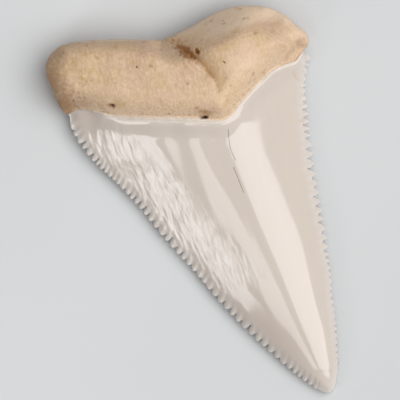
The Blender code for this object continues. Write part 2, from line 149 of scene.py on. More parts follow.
# The grooves between serrations run on inwards: lean towards the root, depth and reach
LEFT_FLUTES = (0.30, 0.00030, 0.0016)
RIGHT_FLUTES = (0.10, 0.00016, 0.0011)
RIDGE_WIDTH = 0.30
RIDGE_CHANGE = (0.70, 1.15)
EDGE_HALF = 0.00022
EDGE_ROLL = ((-0.0265, 0.0013), (-0.0245, 0.0009), (-0.0225, 0.00042))
EDGE_BLEND = 0.0020

# Heights of the crown
EDGE_HEIGHTS = ((-0.0265, 0.0012), (-0.010, 0.0013), (0.008, 0.0015), (0.018, 0.0022))
CREST = ((-0.0265, 0.00872), (0.0120, 0.0036))
CROWN_BULGE = ((-0.0265, 0.30), (-0.018, 0.23), (-0.008, 0.20), (0.004, 0.19), (0.014, 0.185))
INNER_POWER = 1.9
RIGHT_SWELL = ((-0.018, -0.9), (-0.006, 0.0), (0.006, 0.8))
OUTER_POWER = 2.2
TIP_LIFT = 0.0003
TIP_LIFT_FROM = -0.014

# Heights of the root
ROOT_RIM = 0.0042
ROOT_RIM_RISE = 0.005
ROOT_TOP = ((-0.0175, 0.0064), (-0.012, 0.0077), (-0.006, 0.0090), (0.000, 0.0102),
            (0.0035, 0.0106), (0.0070, 0.0102), (0.012, 0.0087), (0.0175, 0.0064))
RIM_ROLL = ((-0.0175, 0.0030), (-0.010, 0.0026), (-0.003, 0.0028), (0.001, 0.0036),
            (0.008, 0.0040), (0.014, 0.0034), (0.0175, 0.0028))
FACET = ((-0.003, 0.0), (0.001, 0.7), (0.012, 0.7), (0.017, 0.2))
FACET_KNEE = 0.22
NECK_ROLL = 0.0034
NECK_STEP = 0.0004
NECK_LEAST = 0.0002
NECK_WALL = 0.00010
BAND_RISE = 0.00016
BAND_ROLL = 0.00036
# Half width of the painted highlight along the band's lower border
LIP_HIGHLIGHT_HALF = 0.00013
NECK_FILLET = 0.00050
NECK_FILLET_REACH = 0.00125
OUTER_ROLL = 0.0030
OUTER_ROOT_FROM = 0.013
OUTER_ROOT_FULL = 0.017
OUTER_STEP = 0.00012

# Flat oval that the tooth lies on
REST_CENTRE = (0.0020, 0.0075)
REST_RADII = (0.0060, 0.0110)
REST_FADE = 1.0
OUTER_BOW = 0.0003

# Foramen beside the groove, pit on the neck line, small pits: place, length, width, turn, depth
PITS = (
    ((0.00265, 0.02119), 0.00095, 0.00060, -1.25, 0.0007),
    ((0.00165, 0.01262), 0.00095, 0.00050, -0.28, 0.0005),
    ((-0.00978, 0.01705), 0.00070, 0.00045, -0.30, 0.0002),
    ((-0.00551, 0.02113), 0.00040, 0.00035, 0.00, 0.0002),
    ((0.00575, 0.01894), 0.00055, 0.00020, -0.90, 0.0002),
    ((-0.01363, 0.01902), 0.00022, 0.00018, 0.00, 0.0001),
    ((-0.01460, 0.01893), 0.00022, 0.00018, 0.00, 0.0001),
)
PIT_SIDES = 14
PIT_SHARES = (1.25, 1.0, 0.75, 0.45, 0.2)
PIT_FLOOR = 0.45
PIT_GAP = 0.00004

# Hairline cracks in the enamel, their half width and depth
CRACKS = (
    ((0.00417, 0.01040), (0.00392, 0.00900), (0.00382, 0.00769), (0.00408, 0.00626)),
    ((0.00364, 0.00529), (0.00382, 0.00415), (0.00412, 0.00177)),
)
CRACK_HALF = 0.00008
CRACK_DEPTH = 0.000004

# Stains on the root and crown, and painted shade on the enamel and the root's left end: place, length,
# width, turn, strength
RUST = (
    ((0.00125, 0.02150), 0.00380, 0.00160, -0.95, 2.0),
    ((0.00195, 0.02050), 0.00140, 0.00060, -0.95, 1.3),
    ((0.00265, 0.02119), 0.00115, 0.00075, -1.25, 1.8),
    ((0.00235, 0.01985), 0.00260, 0.00080, -1.05, 0.45),
    ((0.00165, 0.01262), 0.00120, 0.00065, -0.28, 1.0),
    ((0.00180, 0.01325), 0.00260, 0.00110, -0.28, 0.80),
    ((-0.00978, 0.01705), 0.00110, 0.00075, -0.30, 1.1),
    ((0.01420, 0.01800), 0.00190, 0.00060, 0.50, 0.35),
    ((0.00345, 0.01790), 0.00200, 0.00060, -1.20, 0.35),
)
OCHRE = (
    ((-0.01486, 0.02279), 0.00100, 0.00060, 0.20, 0.6),
    ((-0.01138, 0.02206), 0.00150, 0.00080, 0.30, 0.6),
    ((-0.00423, 0.02082), 0.00060, 0.00130, 0.10, 0.55),
    ((-0.00560, 0.02180), 0.00180, 0.00100, -0.60, 0.45),
    ((0.00062, 0.01961), 0.00070, 0.00110, 0.00, 0.5),
    ((0.01049, 0.01999), 0.00110, 0.00060, 0.00, 0.6),
    ((0.00640, 0.02080), 0.00420, 0.00130, 0.15, 0.4),
    ((0.00480, 0.01370), 0.00220, 0.00060, 0.70, 0.45),
    ((-0.00900, 0.01700), 0.00380, 0.00090, -0.28, 0.45),
    ((0.00300, 0.02330), 0.00420, 0.00160, 0.10, 0.30),
    ((0.01441, 0.01508), 0.00120, 0.00040, -1.20, 1.0),
    ((0.01390, 0.00924), 0.00130, 0.00070, 0.30, 0.6),
)
DARK = (
    ((0.00300, 0.02085), 0.00050, 0.00030, -1.25, 0.4),
    ((0.00165, 0.01258), 0.00085, 0.00045, -0.28, 1.5),
    ((-0.00978, 0.01705), 0.00062, 0.00040, -0.30, 1.2),
    ((-0.00551, 0.02113), 0.00045, 0.00038, 0.00, 0.8),
    ((0.00575, 0.01894), 0.00060, 0.00018, -0.90, 0.8),
    ((-0.01363, 0.01902), 0.00024, 0.00020, 0.00, 1.0),
    ((-0.01460, 0.01893), 0.00024, 0.00020, 0.00, 1.0),
    ((0.00360, 0.00905), 0.00050, 0.00030, 0.00, 0.25),
    ((0.00940, -0.02390), 0.00070, 0.00120, 0.00, 0.12),
    # A dark line along the groove's lip: stain and painted shade
    ((0.00190, 0.02070), 0.00130, 0.00030, -0.95, 0.45),
)
# Painted shade: darker enamel colour on the upper left corner and the lower left flank
PAINTED_SHADE = (
    ((-0.01250, 0.01450), 0.00400, 0.00260, -0.50, 0.6),
    ((0.00240, -0.01560), 0.02100, 0.00700, -1.00, 0.9),
)
PALE = (
    ((-0.00747, 0.01925), 0.00045, 0.00045, 0.00, 1.0),
    ((-0.01400, 0.02180), 0.00260, 0.00130, 0.50, 0.35),
    ((0.00900, 0.01800), 0.00420, 0.00240, 0.30, 0.35),
    ((0.01560, 0.02040), 0.00280, 0.00260, 0.00, 0.5),
)
# Brown stains; the two large ovals on the root's left end are also painted shade
BROWN_AND_SHADE = (
    ((-0.01620, 0.01860), 0.00620, 0.00580, 0.00, 1.05),
    ((-0.01680, 0.02180), 0.00460, 0.00800, 0.00, 0.85),
    ((-0.01350, 0.01830), 0.00480, 0.00190, -0.20, 0.45),
    ((-0.01560, 0.02520), 0.00300, 0.00160, 0.80, 0.35),
    ((0.01600, 0.01900), 0.00240, 0.00180, 0.50, 0.35),
)

# The facet on the far side of the root
FACET_LINE = (
    (-0.00158, 0.02378), (0.00050, 0.02330), (0.00391, 0.02191), (0.00662, 0.02191),
    (0.00985, 0.02233), (0.01285, 0.02239), (0.01499, 0.02118), (0.01620, 0.01952),
)
FACET_FADE = 0.0012

# How far pores reach from the neck, and the pale edges inwards
PORES_REACH = 0.0016
PORES_ELSEWHERE = 0.18
EDGE_REACH = 0.0004

# Stains fade out a little past their ovals, and most have frayed borders
STAIN_REACH = 1.3
STAIN_FRAY = 0.55
STAIN_GRAIN = 2600.0
# Each group of stains or painted shade, its slice of the noise, and how much its borders fray
STAINS_AND_SHADE = {
    "rust": (RUST, 11.5, STAIN_FRAY),
    "ochre": (OCHRE, 13.5, STAIN_FRAY),
    "dark": (DARK, 17.5, STAIN_FRAY),
    "pale": (PALE, 19.5, STAIN_FRAY),
    "brown": (BROWN_AND_SHADE, 23.5, STAIN_FRAY),
    # Painted shade on the enamel, with unfrayed borders
    "shade": (PAINTED_SHADE, 0.0, 0.0),
}

# Wrinkles and ripples of the enamel, in metres and in waves to the metre
WRINKLE_WIDTH = 0.0048
WRINKLE_EDGE = 0.0028
WRINKLE_TOP = 0.0155
WRINKLE_LOW = -0.0115
WRINKLE_FADE = 0.0030
WRINKLE_HEIGHT = 0.000062
WRINKLE_ACROSS = 2400.0
WRINKLE_ALONG = 520.0
RIPPLE_HEIGHT = 0.000090
RIPPLE_FROM = 0.0070
RIPPLE_LEAST = 0.40
RIPPLE_ACROSS = 480.0
RIPPLE_ALONG = 80.0

# Swells and fine grain of the root
ROOT_SWELL = 0.00016
ROOT_SWELLS = 330.0
ROOT_GRAIN = 0.000012
ROOT_GRAINS = 1500.0
# Where each relief is cut from the noise, so that no two are alike
NOISE_SLICES = {"ripple": 1.5, "swell": 3.5, "grain": 5.5, "wrinkle": 7.5, "underside": 9.5}

# Where the mesh is finer: rings of points inside the root's rim, and the zone along the edges
ROOT_RINGS = (0.00003, 0.00010, 0.00020, 0.00034)
RING_STEPS = 1.3
RING_KEPT = 0.9
RIM_CLEAR = 0.00005
EDGE_ZONE = 0.0018
OUTER_EDGE_STEPS = 1.4

# Lengths shorter than this count as nothing, and only triangles inside the rim are kept
EPSILON = 1e-7
INSIDE_ONLY = 1

# Patterns of the materials: waves to the metre, the noise levels that become 0 and 1, and where
# they aren't plain, the share of the waves along the tooth, the turn, and how fine the detail is
PATTERNS = {
    "streaks": (900.0, 0.35, 0.70, 0.12, 0.13),
    "patches": (160.0, 0.35, 0.70, 0.50),
    "enamel_fibres": (1700.0, 0.42, 0.58, 0.15, 0.13),
    "fine_wrinkles": (2600.0, 0.30, 0.75, 0.22, 0.13),
    "gloss": (1500.0, 0.30, 0.70, 0.30, 0.13),
    "band_patches": (900.0, 0.35, 0.65),
    "pink_patches": (170.0, 0.40, 0.65),
    "yellow_patches": (300.0, 0.48, 0.72),
    "ochre_blotches": (520.0, 0.52, 0.78),
    "brown_blotches": (240.0, 0.50, 0.80),
    "bone_fibres": (3200.0, 0.42, 0.62, 0.45, 0.2, 2.0),
    "ochre_flecks": (1000.0, 0.60, 0.75),
    "pale_flecks": (1500.0, 0.60, 0.74, 1.0, 1.0, 2.0),
    "dotted_areas": (400.0, 0.46, 0.54),
    "fine_pores": (3600.0, 0.55, 0.68, 1.0, 0.0, 1.0),
    "coarse_bone": (700.0, 0.30, 0.70),
    "floor_patches": (12.0, 0.30, 0.70),
}
# Round specks: cells to the metre, and a speck's radius as a share of its cell
SPECKS = {"band_dots": (2600.0, 0.30), "root_dots": (620.0, 0.24)}

# Layers of colour from the bottom up: the colour, the patterns and marks where it shows, strength
ENAMEL_LAYERS = (
    ("enamel_shade", ("streaks",), 0.35),
    ("enamel_warm", ("patches",), 0.35),
    # Pale fibres in the wrinkled flank, partly a painted highlight in place of the wrinkles' glints
    ("fibre_and_highlight_colour", ("enamel_fibres", "wrinkle"), 0.7),
    # Painted shade: darker colour on the upper left corner and lower left flank of the enamel
    ("painted_flank_shade", ("shade",), 1.0),
    # Painted shade: grey in the hollows between the serrations
    ("painted_hollow_shade_colour", ("painted_hollow_shade",), 0.6),
    ("edge_colour", ("edge",), 0.6),
    ("crack_colour", ("crack",), 0.9),
    ("crack_colour", ("dark",), 1.0),
    ("ochre_colour", ("ochre",), 0.4),
)
BAND_LAYERS = (
    ("band_shade", ("band_patches",), 1.0),
    ("ochre_colour", ("band_dots",), 0.25),
    # Painted highlight along the band's lower border
    ("lip_highlight_colour", ("lip",), 1.0),
    ("rust_colour", ("rust",), 1.0),
    ("pit_colour", ("dark",), 1.0),
)
ROOT_LAYERS = (
    ("root_pink", ("pink_patches",), 1.0),
    ("root_yellow", ("yellow_patches",), 1.0),
    ("ochre_colour", ("ochre_blotches",), 0.45),
    ("root_brown", ("brown_blotches",), 0.45),
    # Painted light: the far facet of the root made paler, to make up for the light it lacks
    ("facet_painted_light", ("facet",), 0.75),
    ("root_pale", ("bone_fibres",), 0.35),
    # Pale bone near the neck, partly painted light that lifts the shade of the root's strip there
    ("root_pale", ("pores",), 0.7),
    ("ochre_colour", ("ochre_flecks",), 0.75),
    ("root_pale", ("pale_flecks",), 0.45),
    # Brown stains, and painted shade on the root's left end
    ("root_brown", ("brown",), 1.0),
    ("pore_colour", ("root_dots", "dotted_areas"), 0.8),
    ("pore_colour", ("fine_pores", "pores"), 0.42),
    ("ochre_colour", ("ochre",), 1.0),
    # Ochre stain with painted shade in the groove's recess
    ("groove_ochre_and_shade", ("groove",), 0.85),
    ("root_pale", ("pale",), 1.0),
    ("rust_colour", ("rust",), 1.0),
    ("pit_colour", ("dark",), 1.0),
)

# Bumps as strength and depth, and roughness: one value, a range, or the spread above the least
ENAMEL_BUMP = (0.5, 0.00005)
BAND_BUMP = (0.4, 0.00008)
ROOT_COARSE_BUMP = (0.35, 0.00015)
ROOT_FINE_BUMP = (0.25, 0.00006)
ENAMEL_SPREAD = 0.04
ENAMEL_IOR = 1.55
BAND_ROUGHNESS = (0.35, 0.50)
ROOT_SPREAD = 0.12
FLOOR_ROUGHNESS = 0.7

# Stage: the camera's sensor and aim, and the point that the softboxes face
SENSOR = 36.0
CLIP_START = 0.01
EDGE_LEVEL = 0.0015
PHOTO_MIDDLE = (-0.001665, 0.002268)
LIT_POINT = (0.0, 0.0, 0.004)
SOFTBOX_COLOUR = (0.975, 0.99, 1.0)
# Softboxes: name, degrees to the right, rootward and of spin, then distance, width and length
SOFTBOXES = (
    ("key", 27.5, -4.0, 0.0, 1.0, 1.08, 1.20),
    ("strip", -21.5, -19.0, 0.0, 1.0, 0.24, 0.50),
    ("side", -49.5, -21.5, 11.0, 0.15, 0.050, 0.037),
)

# The tooth's materials, by their place in its list
ENAMEL, BAND, ROOT = range(3)


def profile(pairs, at):
    """A smooth curve through (position, value) pairs, held level past both ends."""
    places, values = np.array(pairs, float).T
    slopes = np.gradient(values, places)
    index = np.clip(np.searchsorted(places, at) - 1, 0, len(places) - 2)
    span = places[index + 1] - places[index]
    t = np.clip((at - places[index]) / span, 0.0, 1.0)
    start, end = values[index], values[index + 1]
    rise, fall = slopes[index] * span, slopes[index + 1] * span
    return (
        start * (1 + 2 * t) * (1 - t) ** 2
        + rise * t * (1 - t) ** 2
        + end * t * t * (3 - 2 * t)
        + fall * t * t * (t - 1)
    )


def smooth_step(share):
    """From 0 to 1, level at both ends."""
    share = np.clip(share, 0.0, 1.0)
    return share * share * (3 - 2 * share)


def roll(share):
    """A quarter round: steep at 0, level at 1."""
    share = np.clip(share, 0.0, 1.0)
    return np.sqrt(1 - (1 - share) ** 2)


def bevel(share):
    """A straight slope from 0 that turns level near 1 over a soft knee."""
    return np.maximum((1 + share - np.sqrt((1 - share) ** 2 + FACET_KNEE**2)) / 2, 0.0)


def dome(share):
    """A shallow round: twice as steep at 0 as a straight slope, level at 1."""
    return 1 - (1 - np.clip(share, 0.0, 1.0)) ** 2


def bead(share, fullness):
    """A serration's height from notch to notch: a round point that leans towards the tip."""
    rise = np.sin(np.pi / 2 * np.clip(share / SERRATION_PEAK, 0.0, 1.0))
    fall = np.cos(np.pi / 2 * np.clip((share - SERRATION_PEAK) / (1 - SERRATION_PEAK), 0.0, 1.0))
    return np.maximum(np.where(share < SERRATION_PEAK, rise, fall), 0.0) ** fullness


def lengths_along(points):
    """How far along a line each of its points lies."""
    steps = np.hypot(*np.diff(points, axis=0).T)
    return np.concatenate([[0.0], np.cumsum(steps)])


def smooth_curve(points, step):
    """The points joined by one smooth curve, as points that lie about step apart."""
    points = np.array(points, float)
    along = lengths_along(points)
    at = np.linspace(0.0, along[-1], int(np.ceil(along[-1] / step)) + 1)
    return np.column_stack([profile(np.column_stack([along, axis]), at) for axis in points.T])


def on_curve(curve, at):
    """Points at distances along a curve, and the directions that point to its left."""
    along = lengths_along(curve)
    places = np.column_stack([np.interp(at, along, axis) for axis in curve.T])
    slopes = np.column_stack([np.interp(at, along, np.gradient(axis, along)) for axis in curve.T])
    slopes /= np.hypot(*slopes.T)[:, None]
    return places, np.column_stack([-slopes[:, 1], slopes[:, 0]])


def tree_of(points):
    """A search tree of flat points."""
    tree = KDTree(len(points))
    for i, (x, y) in enumerate(points):
        tree.insert((x, y, 0.0), i)
    tree.balance()
    return tree


def nearest(line, points):
    """For each point: its distance to a line, how far along it that is, and its left side as +1."""
    tree = tree_of(line)
    closest = np.array([tree.find((x, y, 0.0))[1] for x, y in points])
    before = lengths_along(line)
    distance, along, side = np.full(len(points), np.inf), np.zeros(len(points)), np.ones(len(points))
    for index in (closest - 1, closest):
        index = np.clip(index, 0, len(line) - 2)
        start, step = line[index], line[index + 1] - line[index]
        length = np.hypot(*step.T)
        offset = points - start
        share = np.clip((offset * step).sum(axis=1) / length**2, 0.0, 1.0)
        gap = np.hypot(*(offset - share[:, None] * step).T)
        cross = step[:, 0] * offset[:, 1] - step[:, 1] * offset[:, 0]
        nearer = gap < distance
        distance = np.where(nearer, gap, distance)
        along = np.where(nearer, before[index] + share * length, along)
        side = np.where(nearer, np.where(cross >= 0, 1.0, -1.0), side)
    return distance, along, side


def crossings(loop, y):
    """Where a closed loop crosses a level line, from left to right."""
    start, end = loop, np.roll(loop, -1, axis=0)
    crossed = (start[:, 1] > y) != (end[:, 1] > y)
    start, step = start[crossed], (end - start)[crossed]
    return np.sort(start[:, 0] + (y - start[:, 1]) / step[:, 1] * step[:, 0])


def oval_reach(points, centre, length, width, turn):
    """Distance from an oval's middle, where 1 is its rim."""
    offset = points - np.array(centre)
    along = offset[:, 0] * np.cos(turn) + offset[:, 1] * np.sin(turn)
    across = offset[:, 1] * np.cos(turn) - offset[:, 0] * np.sin(turn)
    return np.hypot(along / (length / 2), across / (width / 2))


def grain(points, across, along, layer):
    """Smooth noise over the points, from -1 to 1, at so many waves to the metre each way."""
    return np.array([noise.noise((x * across, y * along, layer)) for x, y in points])


class Outline:
    """The rim seen from above, anticlockwise, and the smooth lines that the heights use."""

    def __init__(self, fine, rim_step):
        chance = random.Random(SERRATION_SEED)
        self.left = smooth_curve(LEFT_EDGE, fine)
        self.right = smooth_curve(RIGHT_EDGE, fine)
        self.tip = smooth_curve(TIP, fine)
        self.lobes = [smooth_curve(side, fine) for side in LOBES]
        self.neck = smooth_curve(NECK_LINE, fine)
        self.band = smooth_curve(BAND_LINE, fine)
        self.groove = smooth_curve(GROOVE, fine)
        self.facet = smooth_curve(FACET_LINE, fine)
        self.cracks = [smooth_curve(crack, fine) for crack in CRACKS]
        self.outer_neck = smooth_curve(OUTER_NECK_LINE, fine)
        left_teeth, self.left_stations = self.serrated(
            self.left, LEFT_NOTCHES, LEFT_DEPTHS, LEFT_FULLNESS, 1, chance)
        right_teeth, self.right_stations = self.serrated(
            self.right, RIGHT_NOTCHES, RIGHT_DEPTHS, RIGHT_FULLNESS, -1, chance)
        tip = smooth_curve(TIP, rim_step / 2)
        lobes = [smooth_curve(side, rim_step)[:-1] for side in LOBES]
        self.cutting_rim = np.vstack([left_teeth, tip, right_teeth[:0:-1]])
        self.rim = np.vstack([self.cutting_rim, *lobes])
        lowest = self.tip[:, 1].argmin()
        self.left_rows = np.vstack([self.tip[:lowest + 1][::-1], self.left[::-1]])
        self.right_rows = np.vstack([self.tip[lowest:], self.right[::-1]])
        self.left_ridges = [chance.uniform(*RIDGE_CHANGE) for _ in self.left_stations[1:]]
        self.right_ridges = [chance.uniform(*RIDGE_CHANGE) for _ in self.right_stations[1:]]

    @staticmethod
    def serrated(edge, notches, depths, fullness, inward, chance):
        """A cutting edge's serrated rim, from root to tip, and where its notches stand."""
        counts, distances = np.array(notches, float).T
        count = int(counts[-1])
        stations = np.interp(np.arange(count + 1), counts, distances)
        pitch = np.diff(stations)
        for i in range(1, count):
            stations[i] += chance.uniform(-NOTCH_SHIFT, NOTCH_SHIFT) * pitch[i]
        shares = np.arange(SERRATION_POINTS) / SERRATION_POINTS
        at, cut = [], []
        for i in range(count):
            change = chance.uniform(1 - DEPTH_CHANGE, 1 + DEPTH_CHANGE)
            at.append(stations[i] + shares * (stations[i + 1] - stations[i]))
            cut.append(profile(depths, stations[i]) * change * (1 - bead(shares, fullness)))
        places, left = on_curve(edge, np.concatenate(at))
        return places + left * np.concatenate(cut)[:, None] * inward, stations


def crown_rows(outline, points):
    """Each point's share of the way from the crest to the edge beside it, and its row's width."""
    rows = points[:, 1]
    left = np.interp(rows, outline.left_rows[:, 1], outline.left_rows[:, 0])
    right = np.interp(rows, outline.right_rows[:, 1], outline.right_rows[:, 0])
    crest = np.clip(crest_line(rows), left + EPSILON, right - EPSILON)
    share = np.where(
        points[:, 0] < crest,
        (crest - points[:, 0]) / (crest - left),
        (points[:, 0] - crest) / (right - crest),
    )
    return np.clip(share, 0.0, 1.0), right - left


def crest_line(rows):
    """Where the crown is highest, across the tooth, in each row."""
    places, offsets = np.array(CREST).T
    return np.interp(rows, places, offsets)


def rim_heights(outline, points):
    """How high the rim stands, for the cutting edges and, above the neck, for the root."""
    distance, _, side = nearest(outline.neck, points)
    above = smooth_step(np.where(side > 0, distance, 0.0) / ROOT_RIM_RISE)
    return profile(EDGE_HEIGHTS, points[:, 1]) * (1 - above) + ROOT_RIM * above


def flutes(outline, points):
    """How far the grooves between the serrations cut into the crown."""
    cut = np.zeros(len(points))
    for edge, stations, ridges, (lean, depth, reach) in (
        (outline.left, outline.left_stations, outline.left_ridges, LEFT_FLUTES),
        (outline.right, outline.right_stations, outline.right_ridges, RIGHT_FLUTES),
    ):
        distance, along, _ = nearest(edge, points)
        at = along + lean * distance
        index = np.clip(np.searchsorted(stations, at) - 1, 0, len(stations) - 2)
        share = (at - stations[index]) / np.diff(stations)[index]
        ridge = np.exp(-((share - SERRATION_PEAK) / RIDGE_WIDTH) ** 2)
        between = 1 - np.array(ridges)[index] * ridge
        between[(share < 0) | (share > 1)] = 0.0
        cut += depth * between * (1 - smooth_step(distance / reach))
    return cut


def wrinkle_zone(outline, points):
    """Where the enamel is wrinkled: the left flank below the neck and along the left edge."""
    distance, _, _ = nearest(outline.left, points)
    flank = 1 - smooth_step((distance - WRINKLE_WIDTH) / WRINKLE_EDGE)
    below = smooth_step((WRINKLE_TOP - points[:, 1]) / WRINKLE_FADE)
    return flank * below * smooth_step((points[:, 1] - WRINKLE_LOW) / WRINKLE_FADE)


def enamel_relief(outline, points):
    """Long ripples down the crown, and the finer wrinkles of the left flank."""
    place = np.column_stack([points[:, 0] - crest_line(points[:, 1]), points[:, 1]])
    left = smooth_step(-place[:, 0] / RIPPLE_FROM)
    ripples = grain(place, RIPPLE_ACROSS, RIPPLE_ALONG, NOISE_SLICES["ripple"])
    ripples *= RIPPLE_LEAST + (1 - RIPPLE_LEAST) * left
    wrinkles = grain(place, WRINKLE_ACROSS, WRINKLE_ALONG, NOISE_SLICES["wrinkle"])
    return RIPPLE_HEIGHT * ripples + WRINKLE_HEIGHT * wrinkles * wrinkle_zone(outline, points)


def inner_heights(outline, points):
    """The upper sheet: crown, neck band, root bulge, groove, pits and cracks."""
    edge = profile(EDGE_HEIGHTS, points[:, 1])
    share, width = crown_rows(outline, points)
    bulge = width * profile(CROWN_BULGE, points[:, 1])
    right = np.where(points[:, 0] > crest_line(points[:, 1]), profile(RIGHT_SWELL, points[:, 1]), 0.0)
    crown = edge + bulge * (1 - share**INNER_POWER - right * share**2 * (1 - share))

    below, _, above = nearest(outline.neck, points)
    on_root = (above > 0) | (below < NECK_WALL / 2)
    rim = rim_heights(outline, points)
    risen = np.ones(len(points))
    faceted = profile(FACET, points[:, 0])
    for side in outline.lobes:
        from_rim = nearest(side, points)[0] / profile(RIM_ROLL, points[:, 0])
        risen *= roll(from_rim) * (1 - faceted) + bevel(from_rim) * faceted
    from_neck = dome(below / NECK_ROLL)
    swell = np.maximum(crown + NECK_STEP - rim, NECK_LEAST) * (1 - from_neck)
    swell += (profile(ROOT_TOP, points[:, 0]) - rim) * from_neck
    root = rim + risen * swell
    swells = grain(points, ROOT_SWELLS, ROOT_SWELLS, NOISE_SLICES["swell"])
    grains = grain(points, ROOT_GRAINS, ROOT_GRAINS, NOISE_SLICES["grain"])
    root += risen * (ROOT_SWELL * swells * from_neck + ROOT_GRAIN * grains)

    from_groove, along, groove_side = nearest(outline.groove, points)
    sunk = (groove_side > 0) & (from_groove > GROOVE_WALL / 2)
    depth = profile(GROOVE_DEPTHS, along) * np.exp(-from_groove / GROOVE_SPREAD)
    root -= np.where(sunk, depth * risen, 0.0)

    lip, _, lip_side = nearest(outline.band, points)
    from_band = np.where(lip_side > 0, 0.0, lip)
    crown += NECK_FILLET * np.exp(-((from_band / NECK_FILLET_REACH) ** 2))
    crown += np.where(lip_side > 0, BAND_RISE * smooth_step(lip / BAND_ROLL), 0.0)
    crown += enamel_relief(outline, points)
    to_rim = nearest(outline.cutting_rim, points)[0]
    rolled = roll(to_rim / profile(EDGE_ROLL, points[:, 1]))
    crown = edge + np.hypot(crown - edge, EDGE_HALF) * rolled
    crown -= flutes(outline, points) * rolled

    height = np.where(on_root, root, crown)
    for centre, length, width, turn, depth in PITS:
        reach = oval_reach(points, centre, length, width, turn)
        height -= depth * (1 - smooth_step((reach - PIT_FLOOR) / (1 - PIT_FLOOR)))
    for crack in outline.cracks:
        height -= CRACK_DEPTH * (nearest(crack, points)[0] < CRACK_HALF / 2)
    return height


def outer_heights(outline, points):
    """The lower sheet: flat where the tooth lies, rising to the rim all round."""
    share, _ = crown_rows(outline, points)
    root = 1 - np.prod([roll(nearest(side, points)[0] / OUTER_ROLL) for side in outline.lobes], 0)
    rooted = smooth_step((points[:, 1] - OUTER_ROOT_FROM) / (OUTER_ROOT_FULL - OUTER_ROOT_FROM))
    raised = share**OUTER_POWER * (1 - rooted) + root * rooted
    lift = TIP_LIFT * smooth_step((TIP_LIFT_FROM - points[:, 1]) / -TIP_LIFT_FROM)
    reach = np.hypot(*((points - REST_CENTRE) / REST_RADII).T)
    away = smooth_step((reach - 1) / REST_FADE)
    rim = rim_heights(outline, points)
    height = (rim * raised + lift + OUTER_BOW * (1 - raised)) * away

    to_rim = nearest(outline.cutting_rim, points)[0]
    under = rim - height
    thick = np.hypot(under, EDGE_HALF)
    under += (thick - under) * (1 - smooth_step(to_rim / EDGE_BLEND))
    rolled = roll(to_rim / profile(EDGE_ROLL, points[:, 1]))
    height = rim - under * rolled
    height += flutes(outline, points) * rolled
    _, _, above = nearest(outline.outer_neck, points)
    height += OUTER_STEP * (above > 0) * (1 - raised)
    swells = np.abs(grain(points, ROOT_SWELLS, ROOT_SWELLS, NOISE_SLICES["underside"]))
    return np.maximum(height, 0.0) + ROOT_SWELL / 2 * swells * (1 - raised)


def ring(outline, curve, inset, step):
    """Points at an even inset from one of the root's sides."""
    places, left = on_curve(curve, np.arange(step / 2, lengths_along(curve)[-1], step))
    moved = places + left * inset
    return moved[nearest(outline.rim, moved)[0] > RING_KEPT * inset]


def grid(outline, step, nearest_rim, furthest_rim):
    """Points in a triangular grid over the outline, between two distances from the rim."""
    low, high = outline.rim.min(axis=0), outline.rim.max(axis=0)
    rise = step * np.sqrt(3) / 2
    rows = []
    for i, y in enumerate(np.arange(low[1], high[1], rise)):
        row = np.arange(low[0] + step / 2 * (i % 2), high[0], step)
        row = row[np.searchsorted(crossings(outline.rim, y), row) % 2 == 1]
        rows.append(np.column_stack([row, np.full(len(row), y)]))
    points = np.vstack(rows)
    distance, _, _ = nearest(outline.rim, points)
    return points[(distance > nearest_rim) & (distance <= furthest_rim)]


def oval(centre, length, width, turn, count):
    """Points round an oval."""
    angles = np.arange(count) * 2 * np.pi / count
    along, across = length / 2 * np.cos(angles), width / 2 * np.sin(angles)
    return np.column_stack([
        centre[0] + along * np.cos(turn) - across * np.sin(turn),
        centre[1] + along * np.sin(turn) + across * np.cos(turn),
    ])


def offset_line(curve, offset, step):
    """A line at an offset to the left of a curve, with points that lie about step apart."""
    length = lengths_along(curve)[-1]
    places, left = on_curve(curve, np.linspace(0.0, length, int(length / step) + 1)[1:-1])
    return places + left * offset


def thinned(points, kept, gap):
    """Points no closer than gap to those kept before them."""
    tree = tree_of(kept)
    return np.array([(x, y) for x, y in points if tree.find((x, y, 0.0))[2] > gap])


def sheet(outline, lines, loose):
    """Triangles over the outline, with edges along the lines: the points and the faces."""
    points, edges, count = [outline.rim], [], len(outline.rim)
    for line in lines:
        edges += [(count + i, count + i + 1) for i in range(len(line) - 1)]
        points.append(line)
        count += len(line)
    for group, gap in loose:
        kept = thinned(group, np.vstack(points), gap)
        if len(kept):
            points.append(kept)
    flat = [Vector(point) for point in np.vstack(points)]
    rim_face = [list(range(len(outline.rim)))]
    made, _, faces, _, _, _ = delaunay_2d_cdt(flat, edges, rim_face, INSIDE_ONLY, EPSILON)
    return np.array([tuple(point) for point in made]), faces


def stain(points, stains, layer, fray):
    """How strongly a group of stains, or of painted shade, colours each point, with frayed borders."""
    found = np.zeros(len(points))
    frayed = 1 / STAIN_REACH + fray * grain(points, STAIN_GRAIN, STAIN_GRAIN, layer)
    for centre, length, width, turn, strength in stains:
        reach = oval_reach(points, centre, length, width, turn)
        found = np.maximum(found, strength * (1 - smooth_step(reach * frayed)))
    return np.clip(found, 0.0, 1.0)


